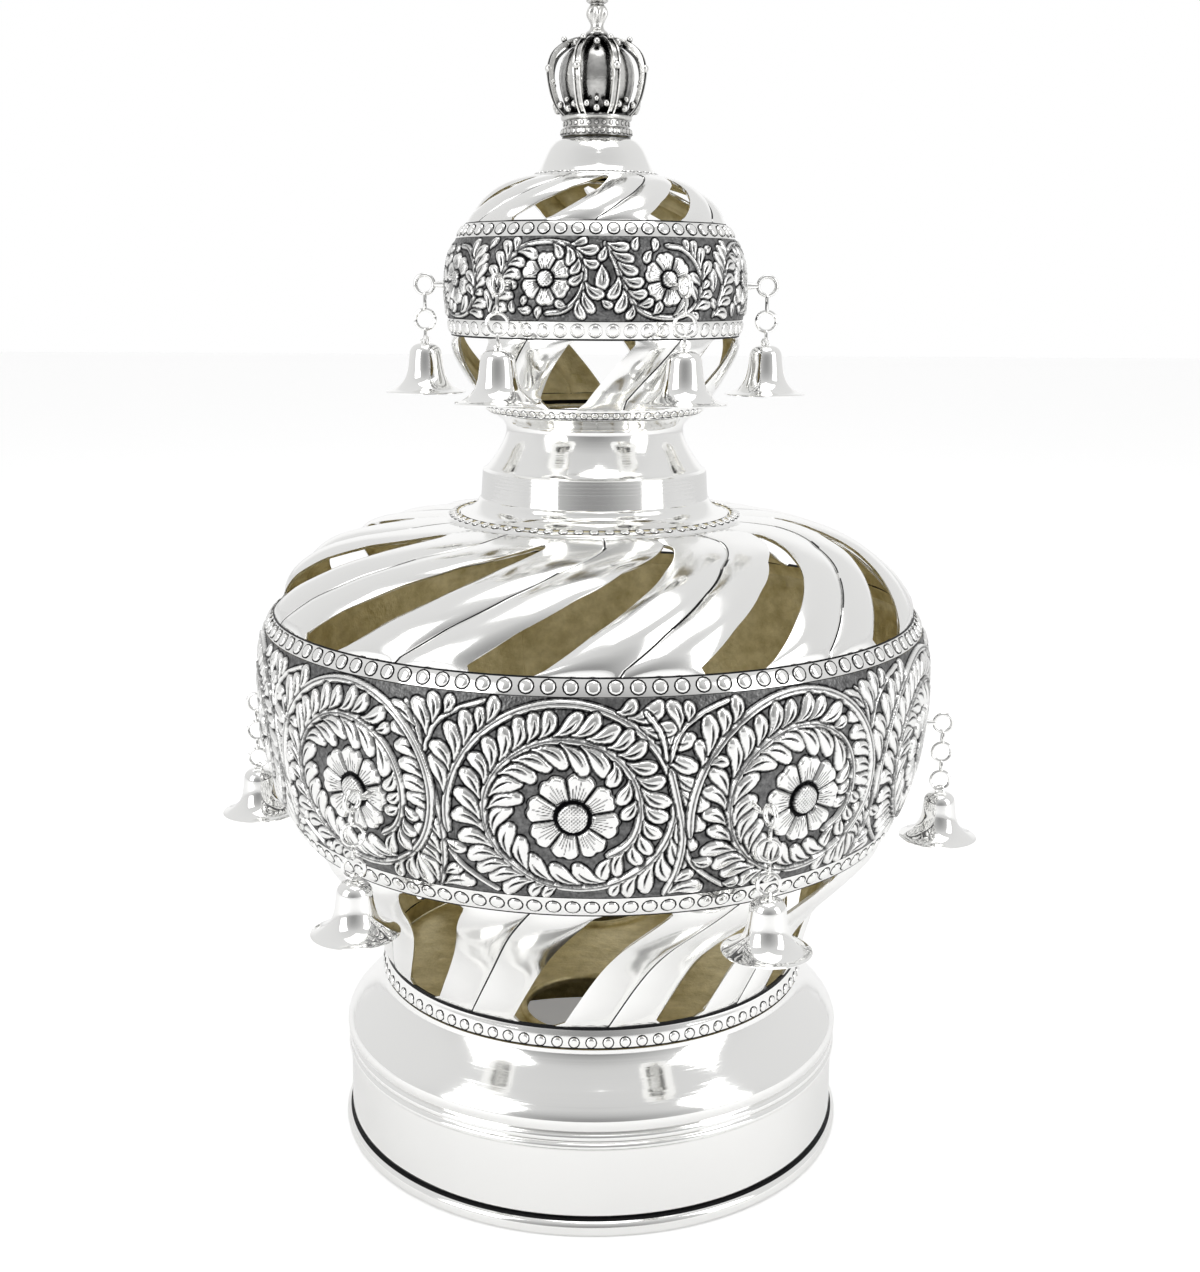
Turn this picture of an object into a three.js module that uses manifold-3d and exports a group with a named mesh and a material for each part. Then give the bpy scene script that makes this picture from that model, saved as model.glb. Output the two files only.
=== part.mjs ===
// A silver torah crown: a pierced and fluted bulb with a chased floral band on a plain spun
// collar, a smaller globe of the same kind above it, a cast crown on top, and twelve hanging
// bells. Millimetres, +Z up, origin at the centre of the collar's underside. Front is -Y.

import * as THREE from 'three';
import { mergeVertices } from 'three/addons/utils/BufferGeometryUtils.js';
import Module from 'manifold-3d';

const wasm = await Module();
wasm.setup();

// ---------------------------------------------------------------- driving dimensions

const WALL = 1.2;          // sheet silver
const GAP = 0.3;           // soldered joint between two pieces
const SINK = 0.5;          // how deep raised work is set into the sheet it is raised from

const COLLAR_SIDES = 30;
const COLLAR_TOP = 58;     // height of the seat under the bulb

const PLATE = { radius: 72.2, thickness: 1.2, hole: 22, holeOffset: 46, rimWidth: 1.8, rimHeight: 1.4 };

// Outlines are [height, radius] pairs, from the bottom up.
const COLLAR_OUTLINE = [
  [0, 88.8], [1.2, 90], [4.6, 90], [5.8, 88.3], [30.6, 88], [32, 88.6],
  [35.4, 87.8], [39.4, 88.4], [43.4, 86.7], [49.4, 81], [COLLAR_TOP, 75.2],
];
const NECK_OUTLINE = [
  [222.1, 46], [226.6, 39.6], [236.8, 38.2], [237.8, 36.6], [243, 32.9],
  [249.4, 30], [253.4, 31.4], [256, 35.6],
];
const CAP_OUTLINE = [[333.9, 19.4], [336.4, 18.1], [339, 16.8], [341.8, 15.3], [344, 13.2], [344.9, 11.4]];

// The pierced shells. Each row is [height, radius, flute depth].
const BULB = {
  periods: 10,
  rows: [
    [58.3, 74.6, 0], [60.8, 75.3, 0], [63.8, 74.6, 0],
    [65, 74.4, 0.5], [78, 76.4, 1], [92, 82.4, 1.1], [104, 94.2, 1.1], [114.4, 102.6, 0.6],
    [115.7, 104.2, 0], [122.7, 107.6, 0],
    [137, 112.2, 0], [156, 115.2, 0], [173, 115.2, 0],
    [184.9, 112.8, 0], [190.1, 109.5, 0],
    [191.4, 108, 0.7], [201, 101.6, 1.2], [209, 92, 1.2], [215, 79.3, 1.1], [219.2, 62, 0.7],
    [220.2, 51, 0], [221.9, 48.4, 0], [221.3, 43.4, 0],
  ],
  innerRows: [0, 3, 4, 5, 6, 7, 11, 15, 16, 17, 18, 19, 22],
  windows: [
    { from: 3, to: 7, halfWidths: [6.6, 6.7, 6.8, 6.8, 6.8] },
    { from: 15, to: 19, halfWidths: [6.2, 6.1, 5.7, 4.6, 1.6] },
  ],
  // [height, degrees]: where the middle of the front window lies, so how the spiral turns
  twist: [
    [58, -15], [65, -14], [114.4, 7.1], [191.4, 22.4], [201, 30], [209, 38.5], [215, 47],
    [219.2, 57], [222, 58],
  ],
};
const GLOBE = {
  periods: 6,
  rows: [
    [256.3, 36.2, 0], [258.8, 37.2, 0],
    [262.4, 39.2, 0.3], [271.5, 44.6, 0.7], [280.6, 48, 0.3],
    [281.6, 48.6, 0], [287.3, 49.5, 0], [299, 50, 0], [312.4, 46.4, 0], [317.6, 43.4, 0],
    [318.6, 42.4, 0.4], [323.6, 38, 0.7], [328, 32.2, 0.7], [331.6, 25.6, 0.4],
    [332.6, 21.4, 0], [333.6, 15.6, 0],
  ],
  innerRows: [0, 2, 3, 4, 7, 10, 11, 12, 13, 15],
  windows: [
    { from: 2, to: 4, halfWidths: [11.6, 12.2, 12.5] },
    { from: 10, to: 13, halfWidths: [9.6, 9.6, 8, 3] },
  ],
  twist: [
    [256, -17], [262.4, -15], [280.6, 3], [318.6, 31], [323.6, 42], [328, 54], [331.6, 66], [333, 68],
  ],
};

// The raised flowers of the floral bands, each inside a ring of stem.
const BULB_BAND = {
  middle: 150, count: 10, firstAngle: -2.8, petals: 8,
  tip: 13.6, notch: 10.2, button: 5, height: 1.3,
};
// Rings of bells: radius and height of the eyelet's middle, angle of the first bell, and the
// chain: how many round links, the length of the small link above each and of the last one.
const BULB_BELLS = {
  prefix: 'bulb', count: 6, firstAngle: 24.7, root: 115.3, ring: 122.4, height: 150,
  links: 2, join: 2.8, lastJoin: 0,
};
const GLOBE_BELLS = {
  prefix: 'globe', count: 6, firstAngle: 28.5, root: 50, ring: 57.4, height: 298,
  links: 1, join: 3.8, lastJoin: 3.8,
};
const EYELET = { radius: 3.1, wire: 0.75, sides: 6, stem: 0.9 };
const LINK = { radius: 3.3, wire: 0.7, sides: 6, joinWidth: 0.9, bite: 0.4 };
const BELL = {
  sides: 8,
  outer: [[-16.6, 13.5], [-13.4, 7.8], [-2.4, 5.4], [0, 2]],
  inner: [[-3.2, 4.6], [-13.4, 7], [-16.6, 12.7]],
};

const CROWN = {
  foot: 345.2, ringTop: 352, ringRadius: 11.3, capRadius: 12, capWaist: 8.8, capTop: 374.4,
  arches: 8, widest: 16.2, widestHeight: 366, crest: 376.6, crestRadius: 3.4, strap: 1.3,
};
const STEM = [
  [0, 3.4], [2.2, 2.3], [6.6, 3.1], [9.6, 2.4], [10.4, 3.5], [11.8, 3.5], [12.6, 2.2], [16.6, 3.9],
  [20.6, 1.4],
];

// ---------------------------------------------------------------- materials

const polished = () => new THREE.MeshStandardMaterial({ color: 0xe6e6e2, roughness: 0.12, metalness: 1 });
const chased = () => new THREE.MeshStandardMaterial({ color: 0xc9c9c6, roughness: 0.25, metalness: 1 });
const gilt = () => new THREE.MeshStandardMaterial({ color: 0xa8956a, roughness: 0.4, metalness: 1 });
const cast = () => new THREE.MeshStandardMaterial({ color: 0xa9a9a4, roughness: 0.3, metalness: 1 });

// ---------------------------------------------------------------- helpers

const radians = THREE.MathUtils.degToRad;

// A point at an angle from the front, turning towards +X.
function around(radius, degrees, height) {
  const angle = radians(degrees);
  return new THREE.Vector3(radius * Math.sin(angle), -radius * Math.cos(angle), height);
}

// The value at x of a broken line through [x, value] pairs.
function along(line, x) {
  const next = line.findIndex(([at]) => at > x);
  if (next === 0) return line[0][1];
  if (next < 0) return line[line.length - 1][1];
  const [x0, y0] = line[next - 1];
  const [x1, y1] = line[next];
  return THREE.MathUtils.mapLinear(x, x0, x1, y0, y1);
}

function welded(geometry) {
  const bare = geometry.index ? geometry.clone() : geometry;
  bare.deleteAttribute('normal');
  bare.deleteAttribute('uv');
  const merged = mergeVertices(bare, 1e-4);
  const corners = Array.from(merged.index.array);
  const kept = [];
  for (let at = 0; at < corners.length; at += 3) {
    const [a, b, c] = corners.slice(at, at + 3);
    if (a !== b && b !== c && c !== a) kept.push(a, b, c);
  }
  return merged.setIndex(kept);
}

function toManifold(geometry) {
  const closed = welded(geometry);
  return new wasm.Manifold(new wasm.Mesh({
    numProp: 3,
    vertProperties: new Float32Array(closed.attributes.position.array),
    triVerts: new Uint32Array(closed.index.array),
  }));
}

function fromManifold(solid) {
  const { vertProperties, triVerts } = solid.getMesh();
  const geometry = new THREE.BufferGeometry();
  geometry.setAttribute('position', new THREE.BufferAttribute(vertProperties, 3));
  geometry.setIndex(new THREE.BufferAttribute(triVerts, 1));
  return geometry;
}

function joined(geometries) {
  return fromManifold(geometries.map(toManifold).reduce((sum, next) => sum.add(next)));
}

// A ring of wall turned about Z: up the outside, and down the inside.
function turned(outline, sides) {
  const points = outline.map(([height, radius]) => new THREE.Vector2(radius, height));
  return welded(new THREE.LatheGeometry(points, sides).rotateX(Math.PI / 2));
}

// The inner line of a wall that has this outer line.
function insideOf(outline, thickness) {
  return outline.map(([height, radius], index) => {
    const [lowHeight, lowRadius] = outline[Math.max(index - 1, 0)];
    const [highHeight, highRadius] = outline[Math.min(index + 1, outline.length - 1)];
    const run = new THREE.Vector2(highRadius - lowRadius, highHeight - lowHeight).normalize();
    return [height + run.x * thickness, radius - run.y * thickness];
  });
}

function finished(name, geometry, material) {
  const flat = geometry.index ? geometry.toNonIndexed() : geometry;
  flat.computeVertexNormals();
  const mesh = new THREE.Mesh(flat, material);
  mesh.name = name;
  return mesh;
}

// ---------------------------------------------------------------- pierced, fluted shells

// The points of one period in a row: the window's two edges, the groove in the middle of the
// panel beside it, and, where the panel is fluted, the crest of each half of the panel.
function stationsOf(shell, row, inner) {
  const [height, , flute] = shell.rows[row];
  const middle = along(shell.twist, height);
  const pitch = 360 / shell.periods;
  const halfWidth = halfWidthAt(shell, row);
  const quarter = (pitch / 2 - halfWidth) / 2;
  const crest = (angle) => (flute > 0 && !inner ? [{ angle, lift: flute * 0.5 }] : []);
  return {
    window: [{ angle: middle - halfWidth, lift: 0 }],
    right: [{ angle: middle + halfWidth, lift: 0 }, ...crest(middle + halfWidth + quarter)],
    left: [{ angle: middle + pitch / 2, lift: -flute * 0.5 }, ...crest(middle + pitch / 2 + quarter)],
  };
}

function halfWidthAt(shell, row) {
  const inside = shell.windows.find(({ from, to }) => row >= from && row <= to);
  if (inside) return inside.halfWidths[row - inside.from];
  const [lower, upper] = shell.windows;
  if (row < lower.from) return lower.halfWidths[0];
  if (row > upper.to) return upper.halfWidths.at(-1);
  return THREE.MathUtils.mapLinear(row, lower.to, upper.from, lower.halfWidths.at(-1), upper.halfWidths[0]);
}

// Collects faces between named points, so that both skins share their edges with the walls.
class Skin {
  constructor() {
    this.positions = [];
    this.index = [];
  }

  add(point) {
    this.positions.push(point.x, point.y, point.z);
    return this.positions.length / 3 - 1;
  }

  // a, b, c, d run counter-clockwise seen from outside
  quad(a, b, c, d) {
    this.index.push(a, b, c, a, c, d);
  }

  // Fills between two lines that run the same way, counter-clockwise with the lower one first.
  strip(lower, upper) {
    let [i, j] = [0, 0];
    while (i < lower.length - 1 || j < upper.length - 1) {
      const share = (i + 1) / (lower.length - 1) - (j + 1) / (upper.length - 1);
      if (j === upper.length - 1 || (i < lower.length - 1 && share <= 0)) {
        this.index.push(lower[i], lower[i + 1], upper[j]);
        i += 1;
      } else {
        this.index.push(lower[i], upper[j + 1], upper[j]);
        j += 1;
      }
    }
  }

  geometry() {
    const geometry = new THREE.BufferGeometry();
    geometry.setAttribute('position', new THREE.Float32BufferAttribute(this.positions, 3));
    geometry.setIndex(this.index);
    return geometry;
  }
}

// One row's points all the way round: for each period its window, right and left stretches.
function rowOf(skin, shell, row, [height, radius], inner) {
  const pitch = 360 / shell.periods;
  const stations = stationsOf(shell, row, inner);
  const periods = Array.from({ length: shell.periods }, (_, period) => {
    const place = ({ angle, lift }) => {
      return skin.add(around(radius + (inner ? Math.min(lift, 0) : lift), angle + period * pitch, height));
    };
    return {
      window: stations.window.map(place),
      right: stations.right.map(place),
      left: stations.left.map(place),
    };
  });
  return periods.map((own, period) => {
    const following = periods[(period + 1) % shell.periods];
    return {
      window: [own.window[0], own.right[0]],
      right: [...own.right, own.left[0]],
      left: [...own.left, following.window[0]],
    };
  });
}

function piercedShell(shell) {
  const skin = new Skin();
  const outline = shell.rows.map(([height, radius]) => [height, radius]);
  const [foot, top] = [outline[0], outline.at(-1)];
  const inside = insideOf(outline, WALL);
  inside[0] = [foot[0], foot[1] - WALL];
  inside[inside.length - 1] = [top[0] - WALL, top[1]];
  const outer = outline.map((at, row) => rowOf(skin, shell, row, at, false));
  const inner = new Map(shell.innerRows.map((row) => [row, rowOf(skin, shell, row, inside[row], true)]));
  const pierced = (row) => shell.windows.some(({ from, to }) => row >= from && row < to);

  for (let period = 0; period < shell.periods; period += 1) {
    const join = (lower, upper, stretches) => {
      stretches.forEach((stretch) => skin.strip(lower[period][stretch], upper[period][stretch]));
    };
    outline.slice(1).forEach((_, row) => {
      join(outer[row], outer[row + 1], pierced(row) ? ['right', 'left'] : ['window', 'right', 'left']);
    });
    shell.innerRows.slice(1).forEach((next, order) => {
      const row = shell.innerRows[order];
      join(inner.get(next), inner.get(row), pierced(row) ? ['right', 'left'] : ['window', 'right', 'left']);
      if (!pierced(row)) return;
      const [low, high] = [outer[row][period].window, outer[next][period].window];
      const [lowIn, highIn] = [inner.get(row)[period].window, inner.get(next)[period].window];
      skin.quad(low[0], lowIn[0], highIn[0], high[0]);
      skin.quad(lowIn[1], low[1], high[1], highIn[1]);
    });
    for (const { from, to } of shell.windows) {
      join(outer[from], inner.get(from), ['window']);
      join(inner.get(to), outer[to], ['window']);
    }
    join(inner.get(0), outer[0], ['window', 'right', 'left']);
    join(outer.at(-1), inner.get(outline.length - 1), ['window', 'right', 'left']);
  }
  return skin.geometry();
}

// A point of a band's relief: across and up from a centre on the shell, lifted off its surface.
function onShell(shell, centreAngle, middle, across, up, lift) {
  const outline = shell.rows.map(([height, radius]) => [height, radius]);
  const height = middle + up;
  const radius = along(outline, height);
  return around(radius + lift, centreAngle + THREE.MathUtils.radToDeg(across / radius), height);
}

// A flower with notched petals round a raised button, closed below inside the sheet.
function flower(shell, band, centreAngle) {
  const skin = new Skin();
  const ring = (radii, lifts) => Array.from({ length: band.petals * radii.length }, (_, corner) => {
    const turn = radians(corner * 360 / (band.petals * radii.length));
    const radius = radii[corner % radii.length];
    const [across, up] = [radius * Math.cos(turn), radius * Math.sin(turn)];
    return skin.add(onShell(shell, centreAngle, band.middle, across, up, lifts[corner % radii.length]));
  });
  const next = (corners, index) => corners[(index + 1) % corners.length];
  const centre = skin.add(onShell(shell, centreAngle, band.middle, 0, 0, band.height + 0.5));
  const base = skin.add(onShell(shell, centreAngle, band.middle, 0, 0, -SINK));
  const edge = ring([band.tip, band.notch], [band.height, band.height * 0.6]);
  const under = ring([band.tip, band.notch], [-SINK, -SINK]);
  edge.forEach((corner, index) => {
    skin.quad(under[index], next(under, index), next(edge, index), corner);
    skin.index.push(base, next(under, index), under[index]);
  });
  const button = ring([band.button], [band.height * 0.7]);
  button.forEach((corner, petal) => {
    const [tip, notch, nextTip] = [edge[petal * 2], edge[petal * 2 + 1], next(edge, petal * 2 + 1)];
    skin.index.push(centre, corner, next(button, petal), corner, tip, notch);
    skin.index.push(corner, notch, next(button, petal), next(button, petal), notch, nextTip);
  });
  return skin.geometry();
}

function bandedShell(shell, band) {
  const pieces = [piercedShell(shell)];
  for (let unit = 0; unit < band.count; unit += 1) {
    pieces.push(flower(shell, band, band.firstAngle + unit * 360 / band.count));
  }
  return joined(pieces);
}

// ---------------------------------------------------------------- spun pieces

function baseCollar() {
  const flange = 70.5;
  const inner = [
    [COLLAR_TOP, flange], [COLLAR_TOP - WALL, flange], [COLLAR_TOP - WALL, 74],
    [42, 85.3], [36, 86.4], [0, 87],
  ];
  return turned([...COLLAR_OUTLINE, ...inner, COLLAR_OUTLINE[0]], COLLAR_SIDES);
}

function stavePlate() {
  const sides = 14;
  const bottom = COLLAR_TOP + GAP;
  const disc = new THREE.Shape().absellipse(0, 0, PLATE.radius, PLATE.radius, 0, Math.PI * 2);
  const options = { depth: PLATE.thickness, bevelEnabled: false, curveSegments: COLLAR_SIDES / 2 };
  let plate = toManifold(new THREE.ExtrudeGeometry(disc, options).translate(0, 0, bottom));
  for (const side of [-1, 1]) {
    const at = (geometry) => geometry.translate(0, side * PLATE.holeOffset, 0);
    const drill = new THREE.CylinderGeometry(PLATE.hole, PLATE.hole, 9, sides).rotateX(Math.PI / 2);
    const [low, high] = [bottom + 0.2, bottom + PLATE.thickness + PLATE.rimHeight];
    const [inside, outside] = [PLATE.hole - 0.4, PLATE.hole + PLATE.rimWidth];
    const rim = turned([
      [low, outside], [high, outside - 0.7], [high, inside], [low, inside], [low, outside],
    ], sides);
    plate = plate.subtract(toManifold(at(drill.translate(0, 0, bottom))));
    plate = plate.add(toManifold(at(rim)));
  }
  return fromManifold(plate);
}

function neck() {
  const [foot, top] = [NECK_OUTLINE[0], NECK_OUTLINE.at(-1)];
  const inner = [
    [top[0], top[1] - WALL], [249.4, 28.7], [237, 36.5], [226.4, 38.2], [foot[0], foot[1] - WALL],
  ];
  return turned([...NECK_OUTLINE, ...inner, foot], 20);
}

function cap() {
  const [foot, ...rest] = CAP_OUTLINE;
  const top = CAP_OUTLINE.at(-1)[0];
  const inside = [[top - WALL, 0], [top - WALL, 11.6], [339, 15.5], [foot[0], foot[1] - WALL]];
  return turned([foot, ...rest, [top, 0], ...inside, foot], 16);
}

// ---------------------------------------------------------------- cast crown

// A strap arch: a flat bar bent from the ring over the widest point and in to the crest.
function arch(angle) {
  const path = new THREE.CatmullRomCurve3([
    around(CROWN.ringRadius - 1.4, angle, CROWN.ringTop - 0.8),
    around(CROWN.widest - 2, angle, CROWN.ringTop + 6.4),
    around(CROWN.widest, angle, CROWN.widestHeight),
    around(CROWN.widest - 4.4, angle, CROWN.crest - 4.2),
    around(CROWN.crestRadius - 2, angle, CROWN.crest - 2),
  ]);
  const half = CROWN.strap;
  const section = new THREE.Shape([
    new THREE.Vector2(-half, -half), new THREE.Vector2(half, -half),
    new THREE.Vector2(half, half), new THREE.Vector2(-half, half),
  ]);
  return new THREE.ExtrudeGeometry(section, { steps: 4, bevelEnabled: false, extrudePath: path });
}

function finialCrown() {
  const ring = turned([
    [CROWN.foot, 0], [CROWN.foot, CROWN.ringRadius], [CROWN.ringTop, CROWN.ringRadius],
    [CROWN.ringTop + 0.8, CROWN.capWaist], [CROWN.widestHeight, CROWN.capRadius],
    [CROWN.capTop - 2.6, 7], [CROWN.crest, CROWN.crestRadius], [CROWN.crest, 0],
  ], 12);
  const pieces = [ring];
  for (let index = 0; index < CROWN.arches; index += 1) {
    pieces.push(arch((index + 0.5) * 360 / CROWN.arches));
  }
  return joined(pieces);
}

function finialStem() {
  const foot = CROWN.crest + GAP;
  const outline = STEM.map(([height, radius]) => [height + foot, radius]);
  return turned([[foot, 0], ...outline, [outline.at(-1)[0], 0]], 10);
}

// ---------------------------------------------------------------- eyelets, chains and bells

// Each is modelled at the front, with its arm along -Y, and turned to its place by its group.
function wireRing(radius, wire, sides) {
  return new THREE.TorusGeometry(radius, wire, 3, sides).rotateZ(Math.PI / 2).rotateX(Math.PI / 2);
}

function eyelet(bells) {
  const length = bells.ring - EYELET.radius - bells.root - GAP + 0.2;
  const stem = new THREE.CylinderGeometry(EYELET.stem, EYELET.stem, length, 3);
  stem.translate(0, -bells.root - GAP - length / 2, bells.height);
  const ring = wireRing(EYELET.radius, EYELET.wire, EYELET.sides).rotateZ(Math.PI / 2);
  ring.translate(0, -bells.ring, bells.height);
  return joined([stem, ring]);
}

function chainTop(bells) {
  return bells.height - EYELET.radius - EYELET.wire - GAP;
}

function chainLength(bells) {
  const round = 2 * (LINK.radius + LINK.wire - LINK.bite);
  const tail = bells.lastJoin > 0 ? bells.lastJoin : LINK.bite;
  return bells.links * (bells.join + round) + tail;
}

// Round links that all face the front, with a small upright link above each.
function chain(bells, turn) {
  const pieces = [];
  let height = chainTop(bells);
  const hangJoin = (length) => {
    const join = new THREE.OctahedronGeometry(1, 0).scale(LINK.joinWidth, LINK.joinWidth, length / 2);
    pieces.push(join.translate(0, 0, height - length / 2));
    height -= length - LINK.bite;
  };
  for (let link = 0; link < bells.links; link += 1) {
    hangJoin(bells.join);
    const drop = LINK.radius + LINK.wire;
    pieces.push(wireRing(LINK.radius, LINK.wire, LINK.sides).translate(0, 0, height - drop));
    height -= 2 * drop - LINK.bite;
  }
  if (bells.lastJoin > 0) hangJoin(bells.lastJoin);
  return joined(pieces).rotateZ(-turn).translate(0, -bells.ring, 0);
}

function bell(bells, turn) {
  const top = chainTop(bells) - chainLength(bells) - GAP;
  const [lip] = BELL.outer;
  const profile = [...BELL.outer, [0, 0], [-2.4, 0], ...BELL.inner, lip];
  return turned(profile, BELL.sides).rotateZ(-turn).translate(0, -bells.ring, top);
}

function bellRing(bells) {
  const group = new THREE.Group();
  for (let index = 0; index < bells.count; index += 1) {
    const place = new THREE.Group();
    const turn = radians(bells.firstAngle + index * 360 / bells.count);
    place.rotation.z = turn;
    place.add(finished(`${bells.prefix}_eyelet_${index + 1}`, eyelet(bells), polished()));
    place.add(finished(`${bells.prefix}_chain_${index + 1}`, chain(bells, turn), polished()));
    place.add(finished(`${bells.prefix}_bell_${index + 1}`, bell(bells, turn), polished()));
    group.add(place);
  }
  return group;
}

// ---------------------------------------------------------------- the crown

const group = new THREE.Group();
group.add(
  finished('base_collar', baseCollar(), polished()),
  finished('stave_plate', stavePlate(), gilt()),
  finished('bulb', bandedShell(BULB, BULB_BAND), chased()),
  finished('neck', neck(), polished()),
  finished('globe', piercedShell(GLOBE), chased()),
  finished('cap', cap(), polished()),
  finished('finial_crown', finialCrown(), cast()),
  finished('finial_stem', finialStem(), cast()),
  bellRing(BULB_BELLS),
  bellRing(GLOBE_BELLS),
);

export default group;
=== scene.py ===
"""The finished looks of the silver torah crown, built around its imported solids."""
import math

import bmesh
import bpy
import numpy as np
from mathutils import Matrix, Vector


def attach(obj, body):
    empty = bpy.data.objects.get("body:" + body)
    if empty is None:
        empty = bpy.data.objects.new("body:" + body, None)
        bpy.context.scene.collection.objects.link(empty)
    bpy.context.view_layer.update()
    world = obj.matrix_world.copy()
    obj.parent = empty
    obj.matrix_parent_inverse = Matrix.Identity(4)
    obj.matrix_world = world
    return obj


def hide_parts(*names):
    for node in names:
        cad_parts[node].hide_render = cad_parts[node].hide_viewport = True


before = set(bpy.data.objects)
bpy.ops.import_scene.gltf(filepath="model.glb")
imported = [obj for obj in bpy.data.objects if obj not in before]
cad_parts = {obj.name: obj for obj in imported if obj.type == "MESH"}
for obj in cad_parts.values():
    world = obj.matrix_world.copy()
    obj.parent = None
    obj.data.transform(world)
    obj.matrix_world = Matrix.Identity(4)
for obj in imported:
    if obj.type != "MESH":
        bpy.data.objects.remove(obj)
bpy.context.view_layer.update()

MM = 0.001
WALL = 1.2


# ---------------------------------------------------------------- finishes

def node(tree, kind, **settings):
    made = tree.nodes.new(kind)
    for name, value in settings.items():
        setattr(made, name, value)
    return made


def effect(name, inputs, outputs):
    """An empty node group with number inputs and the named outputs."""
    group = bpy.data.node_groups.new(name, "ShaderNodeTree")
    for label, value in inputs.items():
        socket = group.interface.new_socket(name=label, in_out="INPUT", socket_type="NodeSocketFloat")
        socket.default_value = value
    for label, kind in outputs.items():
        group.interface.new_socket(name=label, in_out="OUTPUT", socket_type=kind)
    return group, node(group, "NodeGroupInput"), node(group, "NodeGroupOutput")


def hand_polish():
    """Uneven polish: slow changes of roughness, and the faint waviness of hammered sheet."""
    group, given, made = effect(
        "hand polish", {"Smoothest": 0.05, "Roughest": 0.14, "Waviness": 0.1},
        {"Roughness": "NodeSocketFloat", "Normal": "NodeSocketVector"})
    place = node(group, "ShaderNodeTexCoord")
    clouds = node(group, "ShaderNodeTexNoise")
    clouds.inputs["Scale"].default_value = 55
    clouds.inputs["Detail"].default_value = 4
    span = node(group, "ShaderNodeMapRange")
    waves = node(group, "ShaderNodeTexNoise")
    waves.inputs["Scale"].default_value = 95
    waves.inputs["Detail"].default_value = 1
    bump = node(group, "ShaderNodeBump")
    bump.inputs["Distance"].default_value = 0.0006
    wire = group.links.new
    wire(place.outputs["Object"], clouds.inputs["Vector"])
    wire(place.outputs["Object"], waves.inputs["Vector"])
    wire(clouds.outputs["Fac"], span.inputs["Value"])
    span.inputs["From Min"].default_value = 0.3
    span.inputs["From Max"].default_value = 0.7
    wire(given.outputs["Smoothest"], span.inputs["To Min"])
    wire(given.outputs["Roughest"], span.inputs["To Max"])
    wire(given.outputs["Waviness"], bump.inputs["Strength"])
    wire(waves.outputs["Fac"], bump.inputs["Height"])
    wire(span.outputs["Result"], made.inputs["Roughness"])
    wire(bump.outputs["Normal"], made.inputs["Normal"])
    return group


def lathe_lines():
    """The fine rings that spinning and buffing leave round a turned piece."""
    group, given, made = effect("lathe lines", {"Strength": 0.1}, {"Normal": "NodeSocketVector"})
    place = node(group, "ShaderNodeTexCoord")
    parts = node(group, "ShaderNodeSeparateXYZ")
    scale = node(group, "ShaderNodeMath", operation="MULTIPLY")
    scale.inputs[1].default_value = 900
    rings = node(group, "ShaderNodeTexNoise", noise_dimensions="1D")
    rings.inputs["Scale"].default_value = 1
    rings.inputs["Detail"].default_value = 3
    bump = node(group, "ShaderNodeBump")
    bump.inputs["Distance"].default_value = 0.0002
    wire = group.links.new
    wire(place.outputs["Object"], parts.inputs["Vector"])
    wire(parts.outputs["Z"], scale.inputs[0])
    wire(scale.outputs["Value"], rings.inputs["W"])
    wire(rings.outputs["Fac"], bump.inputs["Height"])
    wire(given.outputs["Strength"], bump.inputs["Strength"])
    wire(bump.outputs["Normal"], made.inputs["Normal"])
    return group


def punched_ground():
    """The matting punch's small dimples, and the uneven colour that they hold."""
    group, given, made = effect(
        "punched ground", {"Depth": 0.5}, {"Speckle": "NodeSocketFloat", "Normal": "NodeSocketVector"})
    place = node(group, "ShaderNodeTexCoord")
    dimples = node(group, "ShaderNodeTexVoronoi")
    dimples.inputs["Scale"].default_value = 1150
    grain = node(group, "ShaderNodeTexNoise")
    grain.inputs["Scale"].default_value = 620
    grain.inputs["Detail"].default_value = 3
    bump = node(group, "ShaderNodeBump")
    bump.inputs["Distance"].default_value = 0.0005
    wire = group.links.new
    wire(place.outputs["Object"], dimples.inputs["Vector"])
    wire(place.outputs["Object"], grain.inputs["Vector"])
    wire(dimples.outputs["Distance"], bump.inputs["Height"])
    wire(given.outputs["Depth"], bump.inputs["Strength"])
    wire(grain.outputs["Fac"], made.inputs["Speckle"])
    wire(bump.outputs["Normal"], made.inputs["Normal"])
    return group


HAND_POLISH, LATHE_LINES, PUNCHED_GROUND = hand_polish(), lathe_lines(), punched_ground()


def metal(name, colour, **shader_values):
    material = bpy.data.materials.new(name)
    material.use_nodes = True
    shader = material.node_tree.nodes["Principled BSDF"]
    shader.inputs["Base Color"].default_value = (*colour, 1)
    shader.inputs["Metallic"].default_value = shader_values.get("metallic", 1)
    shader.inputs["Roughness"].default_value = shader_values.get("roughness", 0.1)
    return material, material.node_tree, shader


def use(tree, group, **values):
    made = node(tree, "ShaderNodeGroup", node_tree=group)
    for name, value in values.items():
        made.inputs[name].default_value = value
    return made


def polished_silver(name, smoothest, roughest, waviness):
    material, tree, shader = metal(name, (0.93, 0.928, 0.915))
    polish = use(tree, HAND_POLISH, Smoothest=smoothest, Roughest=roughest, Waviness=waviness)
    tree.links.new(polish.outputs["Roughness"], shader.inputs["Roughness"])
    tree.links.new(polish.outputs["Normal"], shader.inputs["Normal"])
    return material


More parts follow.
